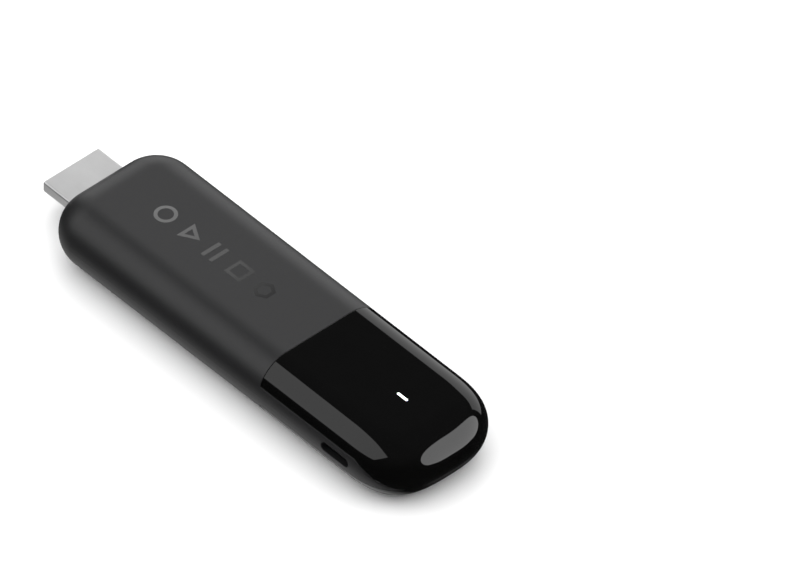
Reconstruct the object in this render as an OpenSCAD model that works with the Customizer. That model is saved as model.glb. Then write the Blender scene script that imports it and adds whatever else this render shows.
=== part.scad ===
// Streaming media player stick: a two-part matte housing with two gloss covers,
// a fixed HDMI plug at one end, a micro-USB power socket in one side, and the
// circuit board, shields, heat spreaders and antennas inside.
// The stick lies on its rear face. +X runs from the plug's tip to the free end,
// and the origin is under the middle of the whole length.

/* [Body] */
// Length of the housing, without the plug
body_len = 99; // [98:0.1:100]
// Width of the housing
body_w = 30.2; // [30:0.1:31]
// Thickness of the housing; its edges are half-round
body_t = 14.2; // [14.2:0.1:14.8]
// Thickness of the housing's walls
wall = 1.5; // [1.45:0.05:1.55]
// Plan radius of the corners beside the plug
plug_corner_r = 8.6; // [8.2:0.1:9.2]
// Plan radius of the corners at the free end
free_corner_r = 11.5; // [11:0.1:12]

/* [Gloss covers] */
// Distance from the housing's plug end to the edge of the gloss covers
cover_start = 61.3; // [60.5:0.1:62]
// Thickness of each gloss cover
cover_t = 0.8; // [0.7:0.05:0.9]
// Height of the matte band between the two covers
band_h = 4.6; // [4.4:0.1:5]
// Distance from the housing's plug end to where the front cover starts to dip
dip_start = 87.6; // [87:0.1:88]
// Distance from the housing's plug end to where it meets the rear cover
dip_end = 96.6; // [96:0.1:97]
// Width of the fine line between cover and housing
reveal = 0.06; // [0.04:0.01:0.1]
// Thickness of the adhesive film under each cover
film_t = 0.1; // [0.05:0.05:0.1]

/* [Status light] */
// Distance from the housing's plug end to the middle of the light
light_x = 84.8; // [84:0.1:86]
// Length of the light's window
light_len = 2.8; // [2.6:0.1:3.4]
// Width of the light's window
light_w = 0.55; // [0.5:0.05:0.8]

/* [Plug] */
// Length of the plug outside the housing
plug_len = 8; // [7.8:0.1:9]
// Width of the plug
plug_w = 13.9; // [13.8:0.05:14]
// Height of the plug
plug_h = 4.45; // [4.4:0.05:4.5]
// Height of the chamfered part of the plug's outline
plug_chamfer = 2.125; // [1.9:0.025:2.2]
// Thickness of the plug's sheet-metal shell
plug_sheet = 0.3; // [0.25:0.05:0.35]
// How far the plug's centre lies behind the housing's mid-plane
plug_drop = 1.25; // [1.2:0.05:1.3]

/* [Power socket] */
// Distance from the housing's plug end to the middle of the socket
usb_x = 82.6; // [82:0.1:83]
// Width of the socket's shell
usb_w = 7.5; // [7.4:0.05:7.6]
// Height of the socket's shell
usb_h = 2.5; // [2.4:0.05:2.6]
// Depth of the socket
usb_depth = 5.5; // [5.2:0.1:5.8]

/* [Board] */
// Width of the circuit board
board_w = 24.6; // [24:0.1:25]
// Thickness of the circuit board
board_t = 0.8; // [0.8:0.1:1]
// How far the board's top lies behind the housing's mid-plane
board_drop = 1.15; // [1.1:0.05:1.2]

/* [Hidden] */
$fn = 48;

// Overall places
total_len = body_len + plug_len;
face_x = total_len / 2 - body_len;  // the housing's plug end
tip_x = -total_len / 2;             // the plug's tip
end_x = total_len / 2;              // the housing's free end
mid_z = body_t / 2;                 // the plane where the two halves part
over = 5;                           // how far cutters run past what they cut

// The housing is a flat core with a half-round edge swept round it
edge_r = body_t / 2;
cavity_r = edge_r - wall;
core_y = body_w / 2 - edge_r;
plug_core_r = plug_corner_r - edge_r;
free_core_r = free_corner_r - edge_r;
plug_corner = [face_x + plug_corner_r, body_w / 2 - plug_corner_r];
free_corner = [end_x - free_corner_r, body_w / 2 - free_corner_r];

// Lip and snaps between the two halves
lip_t = 0.65;
lip_h = 0.9;
lip_gap = 0.1;
snap_r = 0.3;
snap_len = 4;
snap_y = core_y + cavity_r + lip_t - 0.08;
snap_drop = 0.5;
snap_places = [20, 42, 66];

// Covers and their recess
recess_r = edge_r - cover_t - film_t;
film_inset = 2.2;
film_y = core_y - 0.4;

// Plug
plug_z = mid_z - plug_drop;
plug_inside = 8;
plug_bevel_y = plug_w / 2 - plug_chamfer;
plug_fit = 0.1;
latch_x = tip_x + 4.4;
latch_y = 2.5;
latch_size = [1.4, 1.2];
mouth_depth = 1.0;
slot_w = 11.6;
slot_h = 1.9;
slot_depth = 7.2;
contact_w = 0.45;
contact_t = 0.2;
contact_pitch = 1.0;
contact_tail = 1.4;
gasket_x = face_x + 3.5;
gasket_len = 1.2;
gasket_t = 0.6;
leg_len = 3;
leg_h = 2.6;

// Board
board_top = mid_z - board_drop;
board_bottom = board_top - board_t;
board_start = face_x + plug_inside + 0.4;
board_end = face_x + 91;
board_corner = 3;
screw_places = [[13.4, 9.4], [13.4, -9.4], [78, 7.4]];
screw_r = 0.8;
screw_head_r = 1.4;
screw_head_h = 0.8;
screw_len = 4.2;
screw_hole_r = 1.0;
driver_slot = [1.8, 0.35, 0.9];
leg_gap_y = 6.4;
boss_r = 1.9;
boss_foot = 5.9;

// Power socket
usb_z = board_top + usb_h / 2;
usb_mouth_y = -13.4;
usb_sheet = 0.25;
usb_bevel = 0.7;
usb_slot_len = 7.4;
usb_slot_h = 2.2;
tongue_w = 3.8;
tongue_t = 0.6;
tongue_len = 3.6;
tongue_z = usb_z + 0.25;
tongue_block = 1.3;
usb_contact_w = 0.3;
usb_contact_t = 0.12;
usb_contact_tail = 0.9;
usb_pitch = 0.65;

// Chips and small parts: places from the plug end, then across, and sizes
processor_size = [14, 14, 1.2];
memory_size = [8, 9.4, 0.9];
memory_places = [[51, -5.2], [51, 5.2]];
flash_size = [13, 11.5, 0.9];
power_chip_size = [5, 5, 0.85];
inductor_size = [3.6, 3.6, 1.8];
inductor_places = [[62, -8.6], [67, -8.6], [62, -3.8], [70.5, 7]];
wireless_size = [8, 10, 1.7];
crystal_size = [3.2, 2.5, 0.7];
crystal_places = [[21, 4.5], [67, 0]];
capacitor_size = [0.9, 1.7, 0.8];
led_size = [1.6, 0.8, 0.7];

// Shields, pads and heat spreaders
shield_h = 2.0;
can_sheet = 0.2;
front_shield = [26, 58, 11];
rear_shield = [26, 52, 9];
rear_shield_h = 1.5;
front_pad_t = 1.0;
rear_pad_t = 0.5;
front_plate = [18, 74, 10.4];
front_plate_t = 1.5;
rear_plate = [18, 74, 8.6];
rear_plate_t = 0.8;
lid_top = board_top + shield_h + can_sheet;
front_plate_z = lid_top + front_pad_t;
rear_plate_z = board_bottom - rear_shield_h - rear_pad_t - rear_plate_t;
rib_t = 1.0;
front_ribs = [22, 46, 70];
rear_ribs = [22, 46, 70];

// Antennas
antenna_x = 88;
antenna_w = 1.6;
antenna_t = 0.3;
antenna_top = mid_z + 2;
antenna_span = [2, 11];

// ---------- the swept form that housing, cavity and covers share ----------

// Half of a disc on the +X side, with a strip from the axis to it
module edge_profile(core, r) {
    union() {
        translate([core, 0]) intersection() {
            circle(r);
            translate([0, -r]) square([r, 2 * r]);
        }
        if (core > 0) translate([0, -r]) square([core, 2 * r]);
    }
}

// A straight edge of the form, from x = 0 along +X, its round side towards +Y
module straight_edge(len, r) {
    rotate([90, 0, 90]) linear_extrude(len) edge_profile(0, r);
}

// A quarter turn of the edge about +Z, starting from the angle given
module turned_edge(core, r, from) {
    rotate([0, 0, from]) rotate_extrude(angle = 90) edge_profile(core, r);
}

// The flat core's outline without its turned corners
module core_outline() {
    polygon([
        [face_x + edge_r, -plug_corner[1]],
        [plug_corner[0], -plug_corner[1]],
        [plug_corner[0], -core_y],
        [free_corner[0], -core_y],
        [free_corner[0], -free_corner[1]],
        [end_x - edge_r, -free_corner[1]],
        [end_x - edge_r, free_corner[1]],
        [free_corner[0], free_corner[1]],
        [free_corner[0], core_y],
        [plug_corner[0], core_y],
        [plug_corner[0], plug_corner[1]],
        [face_x + edge_r, plug_corner[1]]
    ]);
}

// Everything within r of the flat core: edge_r gives the housing's outside
module rounded_form(r) {
    translate([0, 0, mid_z]) union() {
        translate([0, 0, -r]) linear_extrude(2 * r) core_outline();
        for (side = [0, 1]) mirror([0, side, 0]) {
            translate([plug_corner[0], core_y, 0])
                straight_edge(free_corner[0] - plug_corner[0], r);
            translate([plug_corner[0], plug_corner[1], 0]) turned_edge(plug_core_r, r, 90);
            translate([free_corner[0], free_corner[1], 0]) turned_edge(free_core_r, r, 0);
        }
        translate([face_x + edge_r, -plug_corner[1], 0]) rotate([0, 0, 90])
            straight_edge(2 * plug_corner[1], r);
        translate([end_x - edge_r, free_corner[1], 0]) rotate([0, 0, -90])
            straight_edge(2 * free_corner[1], r);
    }
}

// All the space in front of (side = 1) or behind (side = -1) the level z
module half_space(z, side) {
    reach = total_len;
    translate([-reach, -reach, side > 0 ? z : z - reach])
        cube([2 * reach, 2 * reach, reach]);
}

// The space that a cover and its film take, on the front or the rear. Near the
// free end the front one dips over the band until it meets the rear one.
module cover_space(side, gap) {
    start = face_x + cover_start + gap;
    end = end_x + over;
    high = mid_z + band_h / 2;
    low = mid_z - band_h / 2;
    run = dip_end - dip_start;
    shift = gap * (norm([run, band_h]) - run) / band_h;
    translate([0, body_w, 0]) rotate([90, 0, 0]) linear_extrude(2 * body_w)
        polygon(side > 0 ? [
            [start, high + gap],
            [face_x + dip_start + shift, high + gap],
            [face_x + dip_end + shift, low + gap],
            [end, low + gap],
            [end, body_t + over],
            [start, body_t + over]
        ] : [
            [start, low - gap],
            [start, -over],
            [end, -over],
            [end, low - gap]
        ]);
}

// ---------- housing ----------

// Slot for the micro-USB plug, through the -Y wall
module usb_slot() {
    r = usb_slot_h / 2;
    translate([face_x + usb_x, -body_w / 2 + wall + 0.4, usb_z]) rotate([90, 0, 0])
        linear_extrude(wall + over) {
            square([usb_slot_len - 2 * r, usb_slot_h], center = true);
            for (s = [-1, 1]) translate([s * (usb_slot_len / 2 - r), 0]) circle(r);
        }
}

// Outline of the HDMI plug, looking along +X, moved in by t
module plug_outline(t) {
    k = t * tan(22.5);
    half = plug_w / 2;
    polygon([
        [-half + t, plug_h / 2 - t],
        [half - t, plug_h / 2 - t],
        [half - t, -plug_h / 2 + plug_chamfer + k],
        [plug_bevel_y - k, -plug_h / 2 + t],
        [-plug_bevel_y + k, -plug_h / 2 + t],
        [-half + t, -plug_h / 2 + plug_chamfer + k]
    ]);
}

// The plug's outline made solid between two places along X
module plug_prism(from, to, t) {
    translate([from, 0, plug_z]) rotate([90, 0, 90])
        linear_extrude(to - from) plug_outline(t);
}

// The recess in the housing that takes one cover and its film
module cover_recess(side) {
    difference() {
        cover_space(side, 0);
        rounded_form(recess_r);
    }
}

// One half of the housing's wall, with its recesses, plug opening and slot
module housing_half(side) {
    difference() {
        rounded_form(edge_r);
        half_space(mid_z, -side);
        rounded_form(cavity_r);
        cover_recess(1);
        if (side < 0) cover_recess(-1);
        plug_prism(face_x - over, face_x + wall + 2, -plug_fit);
        usb_slot();
    }
}

// The ring between two swept forms, just behind the parting plane
module lip_ring(inner, outer, depth) {
    intersection() {
        difference() {
            rounded_form(outer);
            rounded_form(inner);
        }
        translate([-total_len, -body_w, mid_z - depth])
            cube([2 * total_len, 2 * body_w, depth]);
    }
}

module snap_bars(r) {
    for (side = [-1, 1], x = snap_places)
        translate([face_x + x, side * snap_y, mid_z - snap_drop]) rotate([0, 90, 0])
            cylinder(r = r, h = snap_len);
}

// A rib across the stick, from z0 to z1, reaching half_w each way
module cross_rib(x, z0, z1, half_w) {
    translate([face_x + x, -half_w, z0]) cube([rib_t, 2 * half_w, z1 - z0]);
}

// The light's window as a column with round ends, wider by grow all round
module light_column(grow) {
    len = light_len - light_w;
    linear_extrude(body_t + over) {
        square([len, light_w + 2 * grow], center = true);
        for (s = [-1, 1]) translate([s * len / 2, 0]) circle(light_w / 2 + grow);
    }
}

module front_housing() {
    color("#3d3d3f") difference() {
        union() {
            housing_half(1);
            difference() {
                union() {
                    lip_ring(cavity_r, cavity_r + lip_t, lip_h);
                    snap_bars(snap_r);
                }
                plug_prism(face_x - over, face_x + wall + 2, -plug_fit - 0.3);
                usb_slot();
            }
            for (x = front_ribs)
                cross_rib(x, front_plate_z + front_plate_t, mid_z + cavity_r + 0.3, 6.5);
            cross_rib(5, plug_z + plug_h / 2, mid_z + cavity_r + 0.3, 5.5);
        }
        translate([face_x + light_x, 0, mid_z]) light_column(0.05);
    }
}

module screw_boss() {
    cylinder(r = boss_r, h = board_bottom - (mid_z - boss_foot));
}

module rear_housing() {
    color("#3b3b3d") difference() {
        union() {
            difference() {
                housing_half(-1);
                lip_ring(cavity_r - 0.3, cavity_r + lip_t + lip_gap, lip_h + lip_gap);
                snap_bars(snap_r + 0.05);
            }
            for (p = screw_places)
                translate([face_x + p[0], p[1], mid_z - boss_foot]) screw_boss();
            for (x = rear_ribs)
                cross_rib(x, mid_z - cavity_r - 0.3, rear_plate_z, 6.5);
            cross_rib(5, mid_z - cavity_r - 0.3, plug_z - plug_h / 2, 5.5);
        }
        for (p = screw_places)
            translate([face_x + p[0], p[1], board_bottom - screw_len + board_t])
                cylinder(r = screw_r, h = screw_len);
    }
}

// ---------- gloss covers ----------

module gloss_cover(side) {
    intersection() {
        difference() {
            rounded_form(edge_r);
            rounded_form(recess_r + film_t);
        }
        cover_space(side, reveal);
    }
}

module front_gloss_cover() {
    color("#0a0a0b") difference() {
        gloss_cover(1);
        translate([face_x + light_x, 0, mid_z]) light_column(0);
    }
}

module rear_gloss_cover() {
    color("#0a0a0b") gloss_cover(-1);
}

// Flat adhesive film between a cover and the recess
module cover_film(side) {
    from = face_x + cover_start + film_inset;
    to = free_corner[0] + 1.7;
    translate([from, -film_y, side > 0 ? mid_z + recess_r : mid_z - recess_r - film_t])
        cube([to - from, 2 * film_y, film_t]);
}

module front_cover_film() {
    color("#d8d4c8") difference() {
        cover_film(1);
        translate([face_x + light_x, 0, mid_z]) light_column(0.4);
    }
}

module rear_cover_film() {
    color("#d8d4c8") cover_film(-1);
}

// ---------- status light ----------

module light_pipe() {
    foot = board_top + 0.8;
    flange = [6.4, 3.4, 0.9];
    flange_top = mid_z + cavity_r;
    color("#f4f4f2") union() {
        intersection() {
            translate([face_x + light_x, 0, foot]) light_column(0);
            half_space(body_t, -1);
        }
        translate([face_x + light_x, 0, flange_top - flange[2] / 2])
            cube(flange, center = true);
    }
}

module status_led() {
    color("#fbf6da") translate([face_x + light_x, 0, board_top + led_size[2] / 2])
        cube(led_size, center = true);
}

// ---------- plug ----------

module plug_shell() {
    back = face_x + plug_inside;
    color("#c4c4c4") difference() {
        union() {
            plug_prism(tip_x, back, 0);
            for (s = [-1, 1])
                translate([back - 0.1, s * (plug_w / 2 - plug_sheet / 2), plug_z])
                    translate([leg_len / 2, 0, 0.4])
                    cube([leg_len, plug_sheet, leg_h], center = true);
        }
        plug_prism(tip_x - over, back + over, plug_sheet);
        for (s = [-1, 1])
            translate([latch_x, s * latch_y, plug_z - plug_h / 2])
                cube([latch_size[0], latch_size[1], 4 * plug_sheet], center = true);
    }
}

// Y places of the contacts in the front (ten) and rear (nine) rows
function row_places(n) = [for (i = [0 : n - 1]) (i - (n - 1) / 2) * contact_pitch];

// One contact, from the mouth to its tail on the board
module contact(y, side) {
    mouth_z = plug_z + side * (slot_h / 2 + contact_t / 2 - 0.08);
    tail_z = side > 0 ? board_top + contact_t / 2 : board_bottom - contact_t / 2;
    back = face_x + plug_inside;
    mouth_x = tip_x + mouth_depth + 0.6;
    low = min(mouth_z, tail_z) - contact_t / 2;
    high = max(mouth_z, tail_z) + contact_t / 2;
    translate([mouth_x, y - contact_w / 2, mouth_z - contact_t / 2])
        cube([back + 0.2 - mouth_x, contact_w, contact_t]);
    translate([back, y - contact_w / 2, low])
        cube([contact_t, contact_w, high - low]);
    translate([back, y - contact_w / 2, tail_z - contact_t / 2])
        cube([contact_tail, contact_w, contact_t]);
}

module contact_rows() {
    for (y = row_places(10)) contact(y, 1);
    for (y = row_places(9)) contact(y, -1);
}

module plug_insulator() {
    back = face_x + plug_inside;
    color("#1a1a1a") difference() {
        plug_prism(tip_x + mouth_depth, back, plug_sheet);
        translate([tip_x - over, -slot_w / 2, plug_z - slot_h / 2])
            cube([slot_depth + over, slot_w, slot_h]);
        contact_rows();
    }
}

module plug_contacts() {
    color("#c9a24a") contact_rows();
}

module plug_gasket() {
    color("#5a5a5a") difference() {
        plug_prism(gasket_x, gasket_x + gasket_len, -gasket_t);
        plug_prism(gasket_x - over, gasket_x + over, 0);
    }
}

// ---------- power socket ----------

module usb_outline(t) {
    k = t * tan(22.5);
    half = usb_w / 2;
    polygon([
        [-half + t, usb_h / 2 - t],
        [half - t, usb_h / 2 - t],
        [half - t, -usb_h / 2 + usb_bevel + k],
        [half - usb_bevel - k, -usb_h / 2 + t],
        [-half + usb_bevel + k, -usb_h / 2 + t],
        [-half + t, -usb_h / 2 + usb_bevel + k]
    ]);
}

module usb_prism(from, to, t) {
    translate([face_x + usb_x, to, usb_z]) rotate([90, 0, 0])
        linear_extrude(to - from) usb_outline(t);
}

module usb_shell() {
    color("#b9b9ba") difference() {
        usb_prism(usb_mouth_y, usb_mouth_y + usb_depth, 0);
        usb_prism(usb_mouth_y - over, usb_mouth_y + usb_depth + over, usb_sheet);
    }
}

module usb_strips() {
    back = usb_mouth_y + usb_depth;
    strip_z = tongue_z - tongue_t / 2 - 0.02;
    for (i = [-2 : 2]) translate([face_x + usb_x + i * usb_pitch - usb_contact_w / 2, 0, 0]) {
        translate([0, back - tongue_len - 1.0, strip_z])
            cube([usb_contact_w, tongue_len + 1.0 + usb_contact_t, usb_contact_t]);
        translate([0, back, board_top])
            cube([usb_contact_w, usb_contact_t, strip_z - board_top + usb_contact_t]);
        translate([0, back, board_top])
            cube([usb_contact_w, usb_contact_tail, usb_contact_t]);
    }
}

module usb_tongue() {
    back = usb_mouth_y + usb_depth;
    color("#20201f") difference() {
        union() {
            usb_prism(back - tongue_block, back, usb_sheet);
            translate([face_x + usb_x - tongue_w / 2, back - tongue_len - 1.2,
                       tongue_z - tongue_t / 2])
                cube([tongue_w, tongue_len, tongue_t]);
        }
        usb_strips();
    }
}

module usb_contacts() {
    color("#c9a24a") usb_strips();
}

// ---------- board and what is on it ----------

module board_outline() {
    half = board_w / 2;
    polygon([
        [board_start, -leg_gap_y], [board_start + leg_len, -leg_gap_y],
        [board_start + leg_len, -half],
        [board_end - board_corner, -half], [board_end, -half + board_corner],
        [board_end, half - board_corner], [board_end - board_corner, half],
        [board_start + leg_len, half], [board_start + leg_len, leg_gap_y],
        [board_start, leg_gap_y]
    ]);
}

module main_board() {
    color("#1f4a35") difference() {
        translate([0, 0, board_bottom]) linear_extrude(board_t) board_outline();
        for (p = screw_places)
            translate([face_x + p[0], p[1], board_bottom - 1])
                cylinder(r = screw_hole_r, h = board_t + 2);
    }
}

module board_screws() {
    color("#9a9a9c") for (p = screw_places)
        translate([face_x + p[0], p[1], board_top]) union() {
            difference() {
                cylinder(r = screw_head_r, h = screw_head_h);
                for (a = [0, 90]) rotate([0, 0, a])
                    translate([0, 0, screw_head_h]) cube(driver_slot, center = true);
            }
            translate([0, 0, -screw_len]) cylinder(r = screw_r, h = screw_len);
        }
}

// A flat package standing on the board's front face
module chip(x, y, size) {
    translate([face_x + x - size[0] / 2, y - size[1] / 2, board_top]) cube(size);
}

// A flat package on the board's rear face
module rear_chip(x, y, size) {
    translate([face_x + x - size[0] / 2, y - size[1] / 2, board_bottom - size[2]]) cube(size);
}

module processor() {
    color("#2b2b2e") chip(36, 0, processor_size);
}

module memory_chips() {
    color("#26262a") for (p = memory_places) chip(p[0], p[1], memory_size);
}

module flash_memory() {
    color("#26262a") rear_chip(36, 0, flash_size);
}

module power_controller() {
    color("#2b2b2e") chip(65, 6.5, power_chip_size);
}

module power_inductors() {
    color("#4a4a4d") for (p = inductor_places) chip(p[0], p[1], inductor_size);
}

module wireless_module() {
    color("#b7b7b8") chip(74, -4, wireless_size);
}

module crystals() {
    color("#c9c9ca") for (p = crystal_places) chip(p[0], p[1], crystal_size);
}

module capacitors() {
    color("#b08a5c") {
        for (i = [0 : 4]) chip(18 + 1.6 * i, -9.8, capacitor_size);
        for (i = [0 : 3]) chip(63.2 + 1.6 * i, 11, capacitor_size);
        for (i = [0 : 5], s = [-1, 1]) rear_chip(57 + 1.8 * i, 5 * s, capacitor_size);
    }
}

// ---------- shields, pads and heat spreaders ----------

module box_between(x0, x1, half_w, z0, z1) {
    translate([face_x + x0, -half_w, z0]) cube([x1 - x0, 2 * half_w, z1 - z0]);
}

module front_shield_frame() {
    s = front_shield;
    color("#bdbdbe") difference() {
        box_between(s[0], s[1], s[2], board_top, board_top + shield_h);
        box_between(s[0] + can_sheet, s[1] - can_sheet, s[2] - can_sheet,
                    board_top - 1, lid_top + 1);
    }
}

module front_shield_lid() {
    s = front_shield;
    g = can_sheet;
    color("#c6c6c7") difference() {
        box_between(s[0] - g, s[1] + g, s[2] + g, board_top + 0.9, lid_top);
        box_between(s[0], s[1], s[2], board_top, board_top + shield_h);
    }
}

module rear_shield_can() {
    s = rear_shield;
    g = can_sheet;
    color("#bdbdbe") difference() {
        box_between(s[0], s[1], s[2], board_bottom - rear_shield_h, board_bottom);
        box_between(s[0] + g, s[1] - g, s[2] - g,
                    board_bottom - rear_shield_h + g, board_bottom + 1);
    }
}

module processor_thermal_pad() {
    color("#9fb4c4") box_between(30, 42, 6, board_top + processor_size[2],
                                 board_top + shield_h);
}

module front_thermal_pad() {
    color("#9fb4c4") box_between(28, 56, 9, lid_top, front_plate_z);
}

module rear_thermal_pad() {
    color("#9fb4c4") box_between(28, 50, 6.8, board_bottom - rear_shield_h - rear_pad_t,
                                 board_bottom - rear_shield_h);
}

module front_heat_spreader() {
    p = front_plate;
    color("#cfd0d1") difference() {
        box_between(p[0], p[1], p[2], front_plate_z, front_plate_z + front_plate_t);
        translate([face_x + 66, 0, front_plate_z - 1]) cylinder(r = 2.5, h = front_plate_t + 2);
    }
}

module rear_heat_spreader() {
    p = rear_plate;
    color("#cfd0d1") box_between(p[0], p[1], p[2], rear_plate_z, rear_plate_z + rear_plate_t);
}

// ---------- antennas ----------

// A stamped strip held over the board on two legs
module antenna() {
    x = face_x + antenna_x;
    from = antenna_span[0];
    len = antenna_span[1] - from;
    translate([x, from, antenna_top - antenna_t]) cube([antenna_w, len, antenna_t]);
    for (y = [from, from + 2.4])
        translate([x, y, board_top]) cube([antenna_t, 0.9, antenna_top - board_top]);
}

module left_antenna() {
    color("#d2b56a") antenna();
}

module right_antenna() {
    color("#d2b56a") mirror([0, 1, 0]) antenna();
}

front_housing();
rear_housing();
front_gloss_cover();
rear_gloss_cover();
front_cover_film();
rear_cover_film();
light_pipe();
status_led();
plug_shell();
plug_insulator();
plug_contacts();
plug_gasket();
usb_shell();
usb_tongue();
usb_contacts();
main_board();
board_screws();
processor();
memory_chips();
flash_memory();
power_controller();
power_inductors();
wireless_module();
crystals();
capacitors();
front_shield_frame();
front_shield_lid();
rear_shield_can();
processor_thermal_pad();
front_thermal_pad();
rear_thermal_pad();
front_heat_spreader();
rear_heat_spreader();
left_antenna();
right_antenna();
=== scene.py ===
import math

import bmesh
import bpy
from mathutils import Matrix, Vector


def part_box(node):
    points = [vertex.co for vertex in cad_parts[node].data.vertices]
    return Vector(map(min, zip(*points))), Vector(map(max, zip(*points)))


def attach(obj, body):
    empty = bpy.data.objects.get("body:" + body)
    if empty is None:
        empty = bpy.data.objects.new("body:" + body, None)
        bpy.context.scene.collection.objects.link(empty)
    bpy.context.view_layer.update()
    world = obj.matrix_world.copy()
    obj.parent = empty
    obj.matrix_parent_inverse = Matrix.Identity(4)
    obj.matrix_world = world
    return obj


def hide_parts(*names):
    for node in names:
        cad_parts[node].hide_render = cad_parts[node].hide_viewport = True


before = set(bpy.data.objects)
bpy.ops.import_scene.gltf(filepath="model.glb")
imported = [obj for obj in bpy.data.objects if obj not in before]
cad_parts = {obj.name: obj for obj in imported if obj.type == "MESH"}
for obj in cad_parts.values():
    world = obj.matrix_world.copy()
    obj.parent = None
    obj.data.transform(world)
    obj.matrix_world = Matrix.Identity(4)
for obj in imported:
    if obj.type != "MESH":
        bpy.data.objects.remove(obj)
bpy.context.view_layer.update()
print("frame loaded with", len(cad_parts), "nodes")

mm = 0.001
mergeReach = 0.0005 * mm      # points nearer than this become one

# the main places of the stick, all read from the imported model
housingLow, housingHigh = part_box("front_housing")
coverLow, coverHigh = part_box("front_gloss_cover")
plugLow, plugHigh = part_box("plug_shell")
socketLow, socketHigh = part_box("usb_shell")
pipeLow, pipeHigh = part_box("light_pipe")
faceX = housingLow.x          # the housing's end beside the plug
endX = coverHigh.x            # the free end, which the front cover wraps
halfWidth = housingHigh.y
topZ = housingHigh.z
midZ = topZ / 2
tipX = plugLow.x


def clearSelection():
    if bpy.context.mode != "OBJECT":
        bpy.ops.object.mode_set(mode="OBJECT")
    bpy.ops.object.select_all(action="DESELECT")


def makeActive(piece):
    clearSelection()
    piece.select_set(True)
    bpy.context.view_layer.objects.active = piece


def applyPlace(piece):
    makeActive(piece)
    bpy.ops.object.transform_apply(location=True, rotation=True, scale=True)


def startEdit(piece):
    makeActive(piece)
    bpy.ops.object.mode_set(mode="EDIT")


def endEdit():
    bpy.ops.object.mode_set(mode="OBJECT")


# selects what passes the test, in edit mode, and says how many that was
def pick(piece, kind, test):
    bpy.ops.mesh.select_mode(type=kind)
    bpy.ops.mesh.select_all(action="DESELECT")
    mesh = bmesh.from_edit_mesh(piece.data)
    items = {"VERT": mesh.verts, "EDGE": mesh.edges, "FACE": mesh.faces}[kind]
    found = [item for item in items if test(item)]
    for item in found:
        item.select_set(True)
    mesh.select_flush_mode()
    bmesh.update_edit_mesh(piece.data)
    return len(found)


def middle(item):
    points = [vert.co for vert in item.verts]
    return sum(points, Vector()) / len(points)


def near(a, b, reach=0.01 * mm):
    return abs(a - b) < reach


def addBox(name, low, high):
    clearSelection()
    centre = (Vector(low) + Vector(high)) / 2
    bpy.ops.mesh.primitive_cube_add(size=1, location=centre)
    piece = bpy.context.object
    piece.name = name
    piece.scale = Vector(high) - Vector(low)
    applyPlace(piece)
    return piece


def useModifier(piece, kind, **settings):
    makeActive(piece)
    modifier = piece.modifiers.new(kind.lower(), kind)
    for key, value in settings.items():
        setattr(modifier, key, value)
    bpy.ops.object.modifier_apply(modifier=modifier.name)


def cut(piece, cutter):
    useModifier(piece, "BOOLEAN", object=cutter, operation="DIFFERENCE", solver="EXACT")


def throwAway(*pieces):
    for piece in pieces:
        bpy.data.objects.remove(piece)


def join(name, pieces):
    clearSelection()
    for piece in pieces:
        piece.select_set(True)
    bpy.context.view_layer.objects.active = pieces[0]
    bpy.ops.object.join()
    joined = bpy.context.object
    joined.name = name
    return joined


# smooth shading up to the angle, with flat faces kept truly flat
def smooth(piece, angle=32):
    makeActive(piece)
    bpy.ops.object.shade_smooth_by_angle(angle=math.radians(angle))
    useModifier(piece, "WEIGHTED_NORMAL", mode="FACE_AREA", weight=80, keep_sharp=True)


# for edit mode
def mergeClose():
    bpy.ops.mesh.select_all(action="SELECT")
    bpy.ops.mesh.remove_doubles(threshold=mergeReach)


def faceOut(piece):
    startEdit(piece)
    mergeClose()
    bpy.ops.mesh.normals_make_consistent(inside=False)
    endEdit()


def linear(code):
    value = [int(code[i:i + 2], 16) / 255 for i in (1, 3, 5)]
    value = [c / 12.92 if c <= 0.04045 else ((c + 0.055) / 1.055) ** 2.4 for c in value]
    return (*value, 1)


# adds a node, sets its sockets or properties, and links the sockets named
def addNode(tree, kind, settings=None, links=None):
    node = tree.nodes.new(kind)
    for key, value in (settings or {}).items():
        if isinstance(key, int) or key in node.inputs:
            node.inputs[key].default_value = value
        else:
            setattr(node, key, value)
    for key, source in (links or {}).items():
        tree.links.new(source, node.inputs[key])
    return node


# a new material, its tree, and the place on the object that its textures go by
def startMaterial(name):
    material = bpy.data.materials.new(name)
    material.use_nodes = True
    tree = material.node_tree
    tree.nodes.clear()
    place = addNode(tree, "ShaderNodeTexCoord").outputs["Object"]
    return material, tree, place


# the values that a noise texture mostly gives
noiseSpan = {"From Min": 0.3, "From Max": 0.7}


# ABS/PC blend moulded against a fine spark-eroded tool: no gloss, broad soft
# highlights that follow the round edges, and a grain that is only just there
def sparkErodedAbs():
    look = {"grainSize": 0.22 * mm, "grainHeight": 0.0022 * mm, "cloudSize": 9 * mm}
    material, tree, place = startMaterial("sparkErodedAbs")
    fine = addNode(tree, "ShaderNodeTexNoise", {"Scale": 1 / look["grainSize"], "Detail": 3.0},
                   {"Vector": place})
    cloud = addNode(tree, "ShaderNodeTexNoise", {"Scale": 1 / look["cloudSize"]},
                    {"Vector": place})
    colour = addNode(tree, "ShaderNodeMix",
                     {"data_type": "RGBA", 6: linear("#151516"), 7: linear("#181819")},
                     {0: cloud.outputs["Fac"]})
    roughness = addNode(tree, "ShaderNodeMapRange", {**noiseSpan, "To Min": 0.40, "To Max": 0.46},
                        {"Value": fine.outputs["Fac"]})
    relief = addNode(tree, "ShaderNodeBump", {"Distance": look["grainHeight"]},
                     {"Height": fine.outputs["Fac"]})
    shader = addNode(tree, "ShaderNodeBsdfPrincipled",
                     {"IOR": 1.5, "Specular IOR Level": 0.58},
                     {"Base Color": colour.outputs[2], "Roughness": roughness.outputs["Result"],
                      "Normal": relief.outputs["Normal"]})
    addNode(tree, "ShaderNodeOutputMaterial", links={"Surface": shader.outputs["BSDF"]})
    return material


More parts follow.
